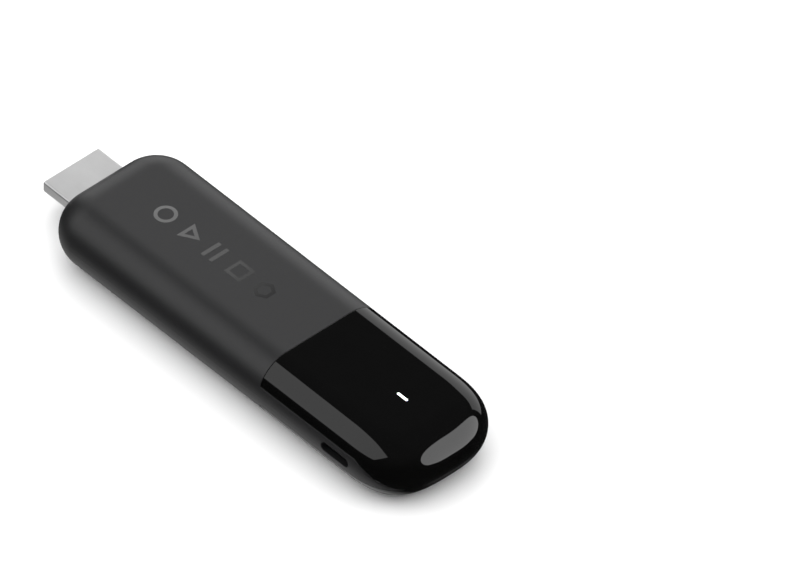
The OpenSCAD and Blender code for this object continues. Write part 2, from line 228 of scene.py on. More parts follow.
# ABS polished in the tool to piano black: sharp reflections with a very slight
# waviness from moulding, over a body that is almost fully black
def pianoBlackAbs():
    look = {"waveSize": 14 * mm, "waveHeight": 0.0016 * mm, "hazeSize": 3 * mm}
    material, tree, place = startMaterial("pianoBlackAbs")
    wave = addNode(tree, "ShaderNodeTexNoise", {"Scale": 1 / look["waveSize"], "Detail": 1.0},
                   {"Vector": place})
    haze = addNode(tree, "ShaderNodeTexNoise", {"Scale": 1 / look["hazeSize"], "Detail": 4.0},
                   {"Vector": place})
    colour = addNode(tree, "ShaderNodeMix",
                     {"data_type": "RGBA", 6: linear("#040404"), 7: linear("#060606")},
                     {0: haze.outputs["Fac"]})
    roughness = addNode(tree, "ShaderNodeMapRange", {**noiseSpan, "To Min": 0.02, "To Max": 0.035},
                        {"Value": haze.outputs["Fac"]})
    relief = addNode(tree, "ShaderNodeBump", {"Distance": look["waveHeight"]},
                     {"Height": wave.outputs["Fac"]})
    shader = addNode(tree, "ShaderNodeBsdfPrincipled", {"IOR": 1.5},
                     {"Base Color": colour.outputs[2], "Roughness": roughness.outputs["Result"],
                      "Normal": relief.outputs["Normal"]})
    addNode(tree, "ShaderNodeOutputMaterial", links={"Surface": shader.outputs["BSDF"]})
    return material


# sheet steel with bright nickel plating, rolled along the plug: satin, with
# faint lines along its length
def nickelPlatedSteel():
    look = {"lineSize": 0.16 * mm, "lineHeight": 0.0012 * mm, "stainSize": 2.5 * mm}
    material, tree, place = startMaterial("nickelPlatedSteel")
    drawn = addNode(tree, "ShaderNodeMapping", {"Scale": (0.04, 1, 1)},
                    {"Vector": place})
    lines = addNode(tree, "ShaderNodeTexNoise",
                    {"Scale": 1 / look["lineSize"], "Detail": 3.0, "Roughness": 0.6},
                    {"Vector": drawn.outputs["Vector"]})
    stain = addNode(tree, "ShaderNodeTexNoise", {"Scale": 1 / look["stainSize"], "Detail": 3.0},
                    {"Vector": place})
    colour = addNode(tree, "ShaderNodeMix",
                     {"data_type": "RGBA", 6: linear("#dadada"), 7: linear("#e3e3e3")},
                     {0: stain.outputs["Fac"]})
    roughness = addNode(tree, "ShaderNodeMapRange", {**noiseSpan, "To Min": 0.34, "To Max": 0.46},
                        {"Value": lines.outputs["Fac"]})
    relief = addNode(tree, "ShaderNodeBump", {"Distance": look["lineHeight"]},
                     {"Height": lines.outputs["Fac"]})
    shader = addNode(tree, "ShaderNodeBsdfPrincipled",
                     {"Metallic": 1.0, "Anisotropic": 0.3},
                     {"Base Color": colour.outputs[2], "Roughness": roughness.outputs["Result"],
                      "Normal": relief.outputs["Normal"]})
    addNode(tree, "ShaderNodeOutputMaterial", links={"Surface": shader.outputs["BSDF"]})
    return material


# copper alloy contacts with a flash of gold: warm, bright and smooth
def goldFlashedContact():
    look = {"scuffSize": 0.3 * mm}
    material, tree, place = startMaterial("goldFlashedContact")
    drawn = addNode(tree, "ShaderNodeMapping", {"Scale": (0.1, 1, 1)},
                    {"Vector": place})
    scuff = addNode(tree, "ShaderNodeTexNoise",
                    {"Scale": 1 / look["scuffSize"], "Detail": 3.0, "Roughness": 0.6},
                    {"Vector": drawn.outputs["Vector"]})
    colour = addNode(tree, "ShaderNodeMix",
                     {"data_type": "RGBA", 6: linear("#d8b56a"), 7: linear("#e6c98a")},
                     {0: scuff.outputs["Fac"]})
    roughness = addNode(tree, "ShaderNodeMapRange", {**noiseSpan, "To Min": 0.2, "To Max": 0.34},
                        {"Value": scuff.outputs["Fac"]})
    shader = addNode(tree, "ShaderNodeBsdfPrincipled", {"Metallic": 1.0},
                     {"Base Color": colour.outputs[2], "Roughness": roughness.outputs["Result"]})
    addNode(tree, "ShaderNodeOutputMaterial", links={"Surface": shader.outputs["BSDF"]})
    return material


# glass-filled LCP of connector bodies: dull black with pale flecks of fibre
def glassFilledLcp():
    look = {"fleckSize": 0.25 * mm, "fleckHeight": 0.003 * mm}
    material, tree, place = startMaterial("glassFilledLcp")
    fleck = addNode(tree, "ShaderNodeTexNoise", {"Scale": 1 / look["fleckSize"], "Detail": 4.0},
                    {"Vector": place})
    colour = addNode(tree, "ShaderNodeMix",
                     {"data_type": "RGBA", 6: linear("#141414"), 7: linear("#1f1f1f")},
                     {0: fleck.outputs["Fac"]})
    roughness = addNode(tree, "ShaderNodeMapRange", {**noiseSpan, "To Min": 0.5, "To Max": 0.7},
                        {"Value": fleck.outputs["Fac"]})
    relief = addNode(tree, "ShaderNodeBump", {"Distance": look["fleckHeight"]},
                     {"Height": fleck.outputs["Fac"]})
    shader = addNode(tree, "ShaderNodeBsdfPrincipled", {"IOR": 1.6},
                     {"Base Color": colour.outputs[2], "Roughness": roughness.outputs["Result"],
                      "Normal": relief.outputs["Normal"]})
    addNode(tree, "ShaderNodeOutputMaterial", links={"Surface": shader.outputs["BSDF"]})
    return material


# frosted acrylic light guide: milky white, lit softly from behind
def frostedAcrylic():
    look = {"frostSize": 0.2 * mm}
    material, tree, place = startMaterial("frostedAcrylic")
    frost = addNode(tree, "ShaderNodeTexNoise", {"Scale": 1 / look["frostSize"], "Detail": 2.0},
                    {"Vector": place})
    colour = addNode(tree, "ShaderNodeMix",
                     {"data_type": "RGBA", 6: linear("#f2f2ef"), 7: linear("#fbfbf8")},
                     {0: frost.outputs["Fac"]})
    roughness = addNode(tree, "ShaderNodeMapRange", {**noiseSpan, "To Min": 0.35, "To Max": 0.5},
                        {"Value": frost.outputs["Fac"]})
    shader = addNode(tree, "ShaderNodeBsdfPrincipled",
                     {"IOR": 1.49, "Subsurface Weight": 0.2, "Subsurface Scale": 0.4 * mm,
                      "Emission Color": linear("#ffffff"), "Emission Strength": 1.0},
                     {"Base Color": colour.outputs[2], "Roughness": roughness.outputs["Result"]})
    addNode(tree, "ShaderNodeOutputMaterial", links={"Surface": shader.outputs["BSDF"]})
    return material


# hot-stamped dark foil with a painted sheen: pale grey at the plug's end of the mark,
# fading to nearly black at its other end, with a slight sheen of its own
def sheenPaintedFoil():
    look = {"flowSize": 1.2 * mm, "pale": faceX + 16.4 * mm, "dark": faceX + 48.4 * mm}
    material, tree, place = startMaterial("sheenPaintedFoil")
    split = addNode(tree, "ShaderNodeSeparateXYZ", links={"Vector": place})
    fade = addNode(tree, "ShaderNodeMapRange",
                   {"From Min": look["pale"], "From Max": look["dark"], "To Min": 0.0,
                    "To Max": 1.0}, {"Value": split.outputs["X"]})
    flow = addNode(tree, "ShaderNodeTexNoise", {"Scale": 1 / look["flowSize"], "Detail": 2.0},
                   {"Vector": place})
    # painted sheen: the pale grey is light painted in where the top is lit, the near black is the
    # foil's own colour
    colour = addNode(tree, "ShaderNodeMix",
                     {"data_type": "RGBA", 6: linear("#585858"), 7: linear("#101010")},
                     {0: fade.outputs["Result"]})
    roughness = addNode(tree, "ShaderNodeMapRange", {**noiseSpan, "To Min": 0.42, "To Max": 0.5},
                        {"Value": flow.outputs["Fac"]})
    shader = addNode(tree, "ShaderNodeBsdfPrincipled",
                     {"IOR": 1.5, "Specular IOR Level": 0.35},
                     {"Base Color": colour.outputs[2], "Roughness": roughness.outputs["Result"]})
    addNode(tree, "ShaderNodeOutputMaterial", links={"Surface": shader.outputs["BSDF"]})
    return material


# pad-printed ink, dead flat: a thin film that shows darker than the grain round it
def padPrintInk(name, first, second, shine):
    look = {"flowSize": 1.2 * mm, "flowHeight": 0.0004 * mm}
    material, tree, place = startMaterial(name)
    flow = addNode(tree, "ShaderNodeTexNoise", {"Scale": 1 / look["flowSize"], "Detail": 2.0},
                   {"Vector": place})
    colour = addNode(tree, "ShaderNodeMix",
                     {"data_type": "RGBA", 6: linear(first), 7: linear(second)},
                     {0: flow.outputs["Fac"]})
    roughness = addNode(tree, "ShaderNodeMapRange", {**noiseSpan, "To Min": 0.5, "To Max": 0.56},
                        {"Value": flow.outputs["Fac"]})
    relief = addNode(tree, "ShaderNodeBump", {"Distance": look["flowHeight"]},
                     {"Height": flow.outputs["Fac"]})
    shader = addNode(tree, "ShaderNodeBsdfPrincipled",
                     {"IOR": 1.5, "Specular IOR Level": shine},
                     {"Base Color": colour.outputs[2], "Roughness": roughness.outputs["Result"],
                      "Normal": relief.outputs["Normal"]})
    addNode(tree, "ShaderNodeOutputMaterial", links={"Surface": shader.outputs["BSDF"]})
    return material


# epoxy board with green solder mask: smooth lacquer over faint woven glass
def solderMask():
    look = {"weaveSize": 0.5 * mm, "weaveHeight": 0.004 * mm, "shadeSize": 4 * mm}
    material, tree, place = startMaterial("solderMask")
    weave = addNode(tree, "ShaderNodeTexChecker",
                    {"Scale": 1 / look["weaveSize"]}, {"Vector": place})
    shade = addNode(tree, "ShaderNodeTexNoise", {"Scale": 1 / look["shadeSize"], "Detail": 3.0},
                    {"Vector": place})
    colour = addNode(tree, "ShaderNodeMix",
                     {"data_type": "RGBA", 6: linear("#16402b"), 7: linear("#1d5238")},
                     {0: shade.outputs["Fac"]})
    roughness = addNode(tree, "ShaderNodeMapRange", {**noiseSpan, "To Min": 0.3, "To Max": 0.42},
                        {"Value": shade.outputs["Fac"]})
    relief = addNode(tree, "ShaderNodeBump", {"Strength": 0.4, "Distance": look["weaveHeight"]},
                     {"Height": weave.outputs["Fac"]})
    shader = addNode(tree, "ShaderNodeBsdfPrincipled",
                     {"IOR": 1.52, "Coat Weight": 0.5, "Coat Roughness": 0.15},
                     {"Base Color": colour.outputs[2], "Roughness": roughness.outputs["Result"],
                      "Normal": relief.outputs["Normal"]})
    addNode(tree, "ShaderNodeOutputMaterial", links={"Surface": shader.outputs["BSDF"]})
    return material


# moulded epoxy of chip packages: charcoal, with the fine pitting of the mould
def mouldedEpoxy():
    look = {"pitSize": 0.12 * mm, "pitHeight": 0.003 * mm}
    material, tree, place = startMaterial("mouldedEpoxy")
    pit = addNode(tree, "ShaderNodeTexNoise", {"Scale": 1 / look["pitSize"], "Detail": 3.0},
                  {"Vector": place})
    colour = addNode(tree, "ShaderNodeMix",
                     {"data_type": "RGBA", 6: linear("#232325"), 7: linear("#2e2e30")},
                     {0: pit.outputs["Fac"]})
    roughness = addNode(tree, "ShaderNodeMapRange", {**noiseSpan, "To Min": 0.5, "To Max": 0.64},
                        {"Value": pit.outputs["Fac"]})
    relief = addNode(tree, "ShaderNodeBump", {"Distance": look["pitHeight"]},
                     {"Height": pit.outputs["Fac"]})
    shader = addNode(tree, "ShaderNodeBsdfPrincipled", {"IOR": 1.55},
                     {"Base Color": colour.outputs[2], "Roughness": roughness.outputs["Result"],
                      "Normal": relief.outputs["Normal"]})
    addNode(tree, "ShaderNodeOutputMaterial", links={"Surface": shader.outputs["BSDF"]})
    return material


# tinned sheet of shield cans: grey, soft sheen, rolled lines one way
def tinnedSheet():
    look = {"rollSize": 0.3 * mm, "rollHeight": 0.001 * mm}
    material, tree, place = startMaterial("tinnedSheet")
    drawn = addNode(tree, "ShaderNodeMapping", {"Scale": (0.05, 1, 1)},
                    {"Vector": place})
    roll = addNode(tree, "ShaderNodeTexNoise",
                   {"Scale": 1 / look["rollSize"], "Detail": 3.0, "Roughness": 0.6},
                   {"Vector": drawn.outputs["Vector"]})
    colour = addNode(tree, "ShaderNodeMix",
                     {"data_type": "RGBA", 6: linear("#b4b4b2"), 7: linear("#c4c4c2")},
                     {0: roll.outputs["Fac"]})
    roughness = addNode(tree, "ShaderNodeMapRange", {**noiseSpan, "To Min": 0.3, "To Max": 0.45},
                        {"Value": roll.outputs["Fac"]})
    relief = addNode(tree, "ShaderNodeBump", {"Distance": look["rollHeight"]},
                     {"Height": roll.outputs["Fac"]})
    shader = addNode(tree, "ShaderNodeBsdfPrincipled", {"Metallic": 1.0},
                     {"Base Color": colour.outputs[2], "Roughness": roughness.outputs["Result"],
                      "Normal": relief.outputs["Normal"]})
    addNode(tree, "ShaderNodeOutputMaterial", links={"Surface": shader.outputs["BSDF"]})
    return material


# rolled aluminium plate of the heat spreaders: pale, with long rolling lines
def rolledAluminium():
    look = {"rollSize": 0.4 * mm, "rollHeight": 0.0015 * mm}
    material, tree, place = startMaterial("rolledAluminium")
    drawn = addNode(tree, "ShaderNodeMapping", {"Scale": (0.03, 1, 1)},
                    {"Vector": place})
    roll = addNode(tree, "ShaderNodeTexNoise",
                   {"Scale": 1 / look["rollSize"], "Detail": 4.0, "Roughness": 0.6},
                   {"Vector": drawn.outputs["Vector"]})
    colour = addNode(tree, "ShaderNodeMix",
                     {"data_type": "RGBA", 6: linear("#c8cacc"), 7: linear("#d8dadc")},
                     {0: roll.outputs["Fac"]})
    roughness = addNode(tree, "ShaderNodeMapRange", {**noiseSpan, "To Min": 0.28, "To Max": 0.4},
                        {"Value": roll.outputs["Fac"]})
    relief = addNode(tree, "ShaderNodeBump", {"Distance": look["rollHeight"]},
                     {"Height": roll.outputs["Fac"]})
    shader = addNode(tree, "ShaderNodeBsdfPrincipled", {"Metallic": 1.0, "Anisotropic": 0.4},
                     {"Base Color": colour.outputs[2], "Roughness": roughness.outputs["Result"],
                      "Normal": relief.outputs["Normal"]})
    addNode(tree, "ShaderNodeOutputMaterial", links={"Surface": shader.outputs["BSDF"]})
    return material


# silicone gap pad: soft, dull and slightly dimpled
def siliconePad():
    look = {"dimpleSize": 0.6 * mm, "dimpleHeight": 0.02 * mm}
    material, tree, place = startMaterial("siliconePad")
    dimple = addNode(tree, "ShaderNodeTexNoise", {"Scale": 1 / look["dimpleSize"], "Detail": 2.0},
                     {"Vector": place})
    colour = addNode(tree, "ShaderNodeMix",
                     {"data_type": "RGBA", 6: linear("#7f97a8"), 7: linear("#94abbb")},
                     {0: dimple.outputs["Fac"]})
    roughness = addNode(tree, "ShaderNodeMapRange", {**noiseSpan, "To Min": 0.55, "To Max": 0.7},
                        {"Value": dimple.outputs["Fac"]})
    relief = addNode(tree, "ShaderNodeBump", {"Distance": look["dimpleHeight"]},
                     {"Height": dimple.outputs["Fac"]})
    shader = addNode(tree, "ShaderNodeBsdfPrincipled", {"IOR": 1.41},
                     {"Base Color": colour.outputs[2], "Roughness": roughness.outputs["Result"],
                      "Normal": relief.outputs["Normal"]})
    addNode(tree, "ShaderNodeOutputMaterial", links={"Surface": shader.outputs["BSDF"]})
    return material


# pressed ferrite, ceramic and other small dull parts, told apart by colour
def pressedPowder(name, first, second):
    look = {"powderSize": 0.15 * mm, "powderHeight": 0.004 * mm}
    material, tree, place = startMaterial(name)
    powder = addNode(tree, "ShaderNodeTexNoise", {"Scale": 1 / look["powderSize"], "Detail": 3.0},
                     {"Vector": place})
    colour = addNode(tree, "ShaderNodeMix",
                     {"data_type": "RGBA", 6: linear(first), 7: linear(second)},
                     {0: powder.outputs["Fac"]})
    roughness = addNode(tree, "ShaderNodeMapRange", {**noiseSpan, "To Min": 0.5, "To Max": 0.7},
                        {"Value": powder.outputs["Fac"]})
    relief = addNode(tree, "ShaderNodeBump", {"Distance": look["powderHeight"]},
                     {"Height": powder.outputs["Fac"]})
    shader = addNode(tree, "ShaderNodeBsdfPrincipled", {"IOR": 1.6},
                     {"Base Color": colour.outputs[2], "Roughness": roughness.outputs["Result"],
                      "Normal": relief.outputs["Normal"]})
    addNode(tree, "ShaderNodeOutputMaterial", links={"Surface": shader.outputs["BSDF"]})
    return material


# conductive fabric over foam: a fine silver-grey plain weave
def conductiveFoam():
    look = {"threadSize": 0.3 * mm, "threadHeight": 0.03 * mm, "bandFactor": 20}
    material, tree, place = startMaterial("conductiveFoam")
    thread = addNode(tree, "ShaderNodeTexWave",
                     {"wave_type": "BANDS", "bands_direction": "DIAGONAL",
                      "Scale": 1 / look["threadSize"] / look["bandFactor"], "Distortion": 0.5},
                     {"Vector": place})
    colour = addNode(tree, "ShaderNodeMix",
                     {"data_type": "RGBA", 6: linear("#4d4d4d"), 7: linear("#6e6e6e")},
                     {0: thread.outputs["Fac"]})
    roughness = addNode(tree, "ShaderNodeMapRange", {**noiseSpan, "To Min": 0.5, "To Max": 0.6},
                        {"Value": thread.outputs["Fac"]})
    relief = addNode(tree, "ShaderNodeBump", {"Distance": look["threadHeight"]},
                     {"Height": thread.outputs["Fac"]})
    shader = addNode(tree, "ShaderNodeBsdfPrincipled", {"Metallic": 0.6},
                     {"Base Color": colour.outputs[2], "Roughness": roughness.outputs["Result"],
                      "Normal": relief.outputs["Normal"]})
    addNode(tree, "ShaderNodeOutputMaterial", links={"Surface": shader.outputs["BSDF"]})
    return material


# painted studio floor: even and pale, with a breath of unevenness
def studioFloor():
    look = {"patchSize": 90 * mm}
    material, tree, place = startMaterial("studioFloor")
    patch = addNode(tree, "ShaderNodeTexNoise", {"Scale": 1 / look["patchSize"], "Detail": 2.0},
                    {"Vector": place})
    colour = addNode(tree, "ShaderNodeMix",
                     {"data_type": "RGBA", 6: linear("#f4f4f4"), 7: linear("#f6f6f6")},
                     {0: patch.outputs["Fac"]})
    roughness = addNode(tree, "ShaderNodeMapRange", {**noiseSpan, "To Min": 0.85, "To Max": 0.9},
                        {"Value": patch.outputs["Fac"]})
    shader = addNode(tree, "ShaderNodeBsdfPrincipled", {"Specular IOR Level": 0.1},
                     {"Base Color": colour.outputs[2], "Roughness": roughness.outputs["Result"]})
    addNode(tree, "ShaderNodeOutputMaterial", links={"Surface": shader.outputs["BSDF"]})
    return material


matteAbs = sparkErodedAbs()
glossAbs = pianoBlackAbs()
nickel = nickelPlatedSteel()
gold = goldFlashedContact()
connectorPlastic = glassFilledLcp()
lightAcrylic = frostedAcrylic()
markFoil = sheenPaintedFoil()
signInk = padPrintInk("blackInk", "#080808", "#0d0d0d", 0.14)
lineInk = padPrintInk("thinInk", "#0e0e0f", "#121213", 0.36)
tin = tinnedSheet()
print("materials made")


def dress(piece, material):
    piece.data.materials.clear()
    piece.data.materials.append(material)
    for face in piece.data.polygons:
        face.material_index = 0


def placePiece(piece, material, slot, *nodes):
    dress(piece, material)
    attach(piece, "root")
    if nodes:
        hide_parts(*nodes)


housing = {
    "plugCorner": 8.6 * mm,      # plan radius beside the plug
    "endReach": 14.8 * mm,       # how far back the free end's corners start
    "endProfile": 0.6,           # a little squarer than a circle's 0.5
    "edgeShare": 0.9995,         # edge radius over half the thickness
    "wall": 1.5 * mm,
    "edgeSteps": 22,
    "plugSteps": 18,
    "endSteps": 36,
    "flatMargin": 0.5 * mm,
    "seamRound": 0.09 * mm,
    "seamReach": 0.15 * mm,      # how near to a line an edge of the seam lies
    "seamSkip": 2.2 * mm,        # left sharp at the start, to each side of the middle
    "seamStop": 1.5 * mm,        # the rounding stops this far before the dip's end
    "plugGap": 0.12 * mm,
    "plugCut": 3 * mm,           # how far the plug's cutter passes the end wall's face
}
cover = {
    "thickness": 0.8 * mm,
    "edgeRound": 0.1 * mm,
    "lightLength": 2.8 * mm,
    "lightWidth": 0.55 * mm,
    "lightGap": 0.03 * mm,
    "lightCut": 3 * mm,
    "lightOver": 1 * mm,
}

# the matte band between the covers, and the front one's dip over its far end
coverDip = {
    "depth": 4.8 * mm,               # from either face to the band
    "start": faceX + 87.6 * mm,
    "end": faceX + 96.6 * mm,
    "reveal": 0.06 * mm,             # the fine gap all round each cover
    "reach": 1 * mm,                 # the dip's cut runs this far past its two levels
}


# the outer skin of one half, open at the middle plane; side is 1 for the front
def halfSkin(name, side):
    clearSelection()
    bpy.ops.mesh.primitive_plane_add(size=1, location=((faceX + endX) / 2, 0, midZ))
    skin = bpy.context.object
    skin.name = name
    skin.scale = (endX - faceX, 2 * halfWidth, 1)
    applyPlace(skin)
    startEdit(skin)
    pick(skin, "VERT", lambda v: v.co.x < 0)
    bpy.ops.mesh.bevel(offset=housing["plugCorner"], segments=housing["plugSteps"],
                       profile=0.5, affect="VERTICES")
    pick(skin, "VERT", lambda v: near(v.co.x, endX))
    bpy.ops.mesh.bevel(offset=housing["endReach"], segments=housing["endSteps"],
                       profile=housing["endProfile"], affect="VERTICES")
    bpy.ops.mesh.select_all(action="SELECT")
    bpy.ops.mesh.extrude_region_move(TRANSFORM_OT_translate={"value": (0, 0, side * midZ)})
    pick(skin, "FACE", lambda f: near(middle(f).z, midZ))
    bpy.ops.mesh.delete(type="ONLY_FACE")
    outer = midZ + side * midZ
    pick(skin, "EDGE", lambda e: all(near(v.co.z, outer) for v in e.verts))
    bpy.ops.mesh.bevel(offset=midZ * housing["edgeShare"], segments=housing["edgeSteps"],
                       profile=0.5, affect="EDGES", clamp_overlap=False)
    pick(skin, "FACE", lambda f: near(middle(f).z, outer, 0.001 * mm))
    bpy.ops.mesh.inset(thickness=housing["flatMargin"])
    endEdit()
    faceOut(skin)
    return skin


# turns all the normals round when most of them point at the skin's middle
def turnOut(skin):
    centre = Vector(((faceX + endX) / 2, 0, midZ))
    startEdit(skin)
    mesh = bmesh.from_edit_mesh(skin.data)
    inward = [f for f in mesh.faces if f.normal.dot(f.calc_center_median() - centre) < 0]
    if len(inward) > len(mesh.faces) / 2:
        bpy.ops.mesh.select_all(action="SELECT")
        bpy.ops.mesh.flip_normals()
    endEdit()


# Where the gloss covers end, each line moved gap into the cover: across the stick
# at start, along it at high and low, and down the dip from one to the other.
def coverLines(gap):
    high, low = topZ - coverDip["depth"], coverDip["depth"]
    run = coverDip["end"] - coverDip["start"]
    fall = high - low
    slope = math.hypot(run, fall)
    return {
        "start": coverLow.x - coverDip["reveal"] + gap,
        "high": high + gap,
        "frontLow": low + gap,
        "rearHigh": low - gap,
        "dipPlace": Vector((coverDip["start"], 0, high)) + Vector((fall, 0, run)) / slope * gap,
        "dipDirection": Vector((fall, 0, run)) / slope,
    }


def inFrontCover(point, lines):
    aboveDip = (point - lines["dipPlace"]).dot(lines["dipDirection"]) > 0
    return point.x > lines["start"] and (
        point.z > lines["high"] or (aboveDip and point.z > lines["frontLow"]))


def inRearCover(point, lines):
    return point.x > lines["start"] and point.z < lines["rearHigh"]


# cuts the skin along all the covers' edges, with nothing taken away yet
def cutLines(skin, lines):
    band = (lines["rearHigh"] - coverDip["reach"], lines["high"] + coverDip["reach"])
    levels = [lines["high"], lines["frontLow"]]
    if not near(lines["rearHigh"], lines["frontLow"], 0.001 * mm):
        levels.append(lines["rearHigh"])
    plans = [((lines["start"], 0, 0), (1, 0, 0), lambda p: True)]
    plans += [((0, 0, level), (0, 0, 1), lambda p: p.x > lines["start"]) for level in levels]
    plans.append((lines["dipPlace"], lines["dipDirection"],
                  lambda p: p.x > lines["start"] and band[0] < p.z < band[1]))
    for place, direction, wanted in plans:
        startEdit(skin)
        if pick(skin, "FACE", lambda f: wanted(middle(f))):
            bpy.ops.mesh.bisect(plane_co=place, plane_no=direction)
        mergeClose()
        endEdit()


def deleteFaces(skin, test):
    startEdit(skin)
    pick(skin, "FACE", test)
    bpy.ops.mesh.delete(type="FACE")
    endEdit()


# rounds the sharp edges of a shell that the test says are on a seam
def roundSeam(shell, size, onSeam):
    sharp = math.radians(50)
    startEdit(shell)
    pick(shell, "EDGE", lambda e: len(e.link_faces) == 2
         and e.calc_face_angle(0) > sharp and onSeam(middle(e)))
    bpy.ops.mesh.bevel(offset=size, segments=3, profile=0.5, affect="EDGES")
    endEdit()


def thicken(skin, thickness):
    useModifier(skin, "SOLIDIFY", thickness=thickness, offset=-1,
                use_even_offset=True, use_quality_normals=True)


def makeHousingHalf(name, side):
    lines = coverLines(0)
    shell = halfSkin(name, side)
    turnOut(shell)
    cutLines(shell, lines)
    deleteFaces(shell, lambda f: inFrontCover(middle(f), lines)
                or inRearCover(middle(f), lines))
    thicken(shell, housing["wall"])
    return shell


def roundHousingSeam(shell):
    lines = coverLines(0)
    reach = housing["seamReach"]

    def onSeam(point):
        alongDip = abs((point - lines["dipPlace"]).dot(lines["dipDirection"])) < reach
        atStart = near(point.x, lines["start"], reach) \
            and abs(point.z - midZ) > housing["seamSkip"]
        atLevel = point.x > lines["start"] and (
            near(point.z, lines["high"], reach) or near(point.z, lines["rearHigh"], reach))
        before = point.x < coverDip["end"] - housing["seamStop"]
        return before and (alongDip or atStart or atLevel)

    roundSeam(shell, housing["seamRound"], onSeam)


# the whole skin, both halves sewn together at the middle plane
def wholeSkin(name):
    skins = [halfSkin(name, 1), halfSkin(name, -1)]
    for skin in skins:
        turnOut(skin)
    whole = join(name, skins)
    startEdit(whole)
    mergeClose()
    endEdit()
    return whole


def makeCover(name, inCover):
    lines = coverLines(coverDip["reveal"])
    shell = wholeSkin(name)
    cutLines(shell, lines)
    deleteFaces(shell, lambda f: not inCover(middle(f), lines))
    thicken(shell, cover["thickness"])
    roundSeam(shell, cover["edgeRound"], lambda p: True)
    return shell


# a bar with round ends to cut a slot with, long in X and reaching from low to high in Z
def slotBar(name, centre, length, width, low, high):
    clearSelection()
    bpy.ops.mesh.primitive_cylinder_add(vertices=48, radius=width / 2, depth=high - low)
    bar = bpy.context.object
    bar.name = name
    startEdit(bar)
    bpy.ops.mesh.select_all(action="SELECT")
    bpy.ops.mesh.bisect(plane_co=(0, 0, 0), plane_no=(1, 0, 0))
    for side in (-1, 1):
        pick(bar, "VERT", lambda v: v.co.x * side > 0.001 * mm)
        bpy.ops.transform.translate(value=(side * (length - width) / 2, 0, 0))
    endEdit()
    bar.location = (centre[0], centre[1], (low + high) / 2)
    applyPlace(bar)
    return bar


# the plug's outline as a prism along X, standing off by the gap given
def plugPrism(name, fromX, toX, gap, shape):
    low = Vector((fromX, plugLow.y - gap, plugLow.z - gap))
    high = Vector((toX, plugHigh.y + gap, plugLow.z + shape["height"] + gap))
    prism = addBox(name, low, high)

    def isLong(edge):
        return abs(edge.verts[0].co.x - edge.verts[1].co.x) > (toX - fromX) / 2

    startEdit(prism)
    pick(prism, "EDGE", lambda e: isLong(e) and near(middle(e).z, low.z))
    bpy.ops.mesh.bevel(offset=shape["chamfer"] + gap * 0.5, segments=1, affect="EDGES")
    pick(prism, "EDGE", isLong)
    bpy.ops.mesh.bevel(offset=shape["cornerRound"] + gap, segments=5, profile=0.5,
                       affect="EDGES")
    endEdit()
    return prism


plug = {
    "height": 4.45 * mm,
    "chamfer": 2.1 * mm,
    "cornerRound": 0.4 * mm,
    "sheet": 0.3 * mm,
    "mouthRound": 0.1 * mm,
    "insideLength": 8 * mm,
    "latchPlace": 4.4 * mm,
    "latchSpacing": 5 * mm,
    "latchRadius": 1.02 * mm,    # from the middle of the window to its corners
    "latchCut": 1.2 * mm,
}

# the sprung tongue in each latch window
tongue = {
    "radius": 0.612 * mm,
    "sheet": 0.2 * mm,
    "shift": 0.25 * mm,          # its middle lies this much nearer to the tip
    "round": 0.04 * mm,
}

# micro-USB opening in the side, with its rim eased
opening = {
    "length": 7.4 * mm,
    "height": 2.2 * mm,
    "rim": 0.18 * mm,
    "rimShare": 0.8,             # the part of the rim's flare that lies in the wall
    "depth": 2.2 * mm,
    "over": 1 * mm,
}


def usbCutter():
    centreX = (socketLow.x + socketHigh.x) / 2
    centreZ = (socketLow.z + socketHigh.z) / 2
    bar = slotBar("usbCutter", (0, 0), opening["length"], opening["height"], 0,
                  opening["depth"])
    startEdit(bar)
    pick(bar, "FACE", lambda f: near(middle(f).z, opening["depth"]))
    bpy.ops.mesh.extrude_region_move(TRANSFORM_OT_translate={"value": (0, 0, opening["rim"])})
    grow = (1 + 2 * opening["rim"] / opening["length"],
            1 + 2 * opening["rim"] / opening["height"], 1)
    bpy.ops.transform.resize(value=grow, center_override=(0, 0, opening["depth"]))
    bpy.ops.mesh.extrude_region_move(TRANSFORM_OT_translate={"value": (0, 0, opening["over"])})
    endEdit()
    bar.rotation_euler = (math.pi / 2, 0, 0)
    inset = opening["depth"] + opening["rim"] * opening["rimShare"]
    bar.location = (centreX, inset - halfWidth, centreZ)
    applyPlace(bar)
    return bar


frontShell = makeHousingHalf("frontShell", 1)
rearShell = makeHousingHalf("rearShell", -1)
usbHole = usbCutter()
plugHole = plugPrism("plugCutter", faceX - housing["plugCut"], faceX + housing["plugCut"],
                     housing["plugGap"], plug)
for shell in (frontShell, rearShell):
    cut(shell, usbHole)
    cut(shell, plugHole)
    roundHousingSeam(shell)
    smooth(shell)
throwAway(usbHole, plugHole)
placePiece(frontShell, matteAbs, "matte_housing", "front_housing")
placePiece(rearShell, matteAbs, "matte_housing", "rear_housing")
print("housing halves made")

frontCover = makeCover("frontCover", inFrontCover)
rearCover = makeCover("rearCover", inRearCover)
lightCentre = ((pipeLow.x + pipeHigh.x) / 2, 0)
lightHole = slotBar("lightCutter", lightCentre, cover["lightLength"] + 2 * cover["lightGap"],
                    cover["lightWidth"] + 2 * cover["lightGap"],
                    topZ - cover["lightCut"], topZ + cover["lightOver"])
cut(frontCover, lightHole)
throwAway(lightHole)
for shell in (frontCover, rearCover):
    smooth(shell)
placePiece(frontCover, glossAbs, "gloss_cover", "front_gloss_cover")
placePiece(rearCover, glossAbs, "gloss_cover", "rear_gloss_cover")
print("gloss covers made")


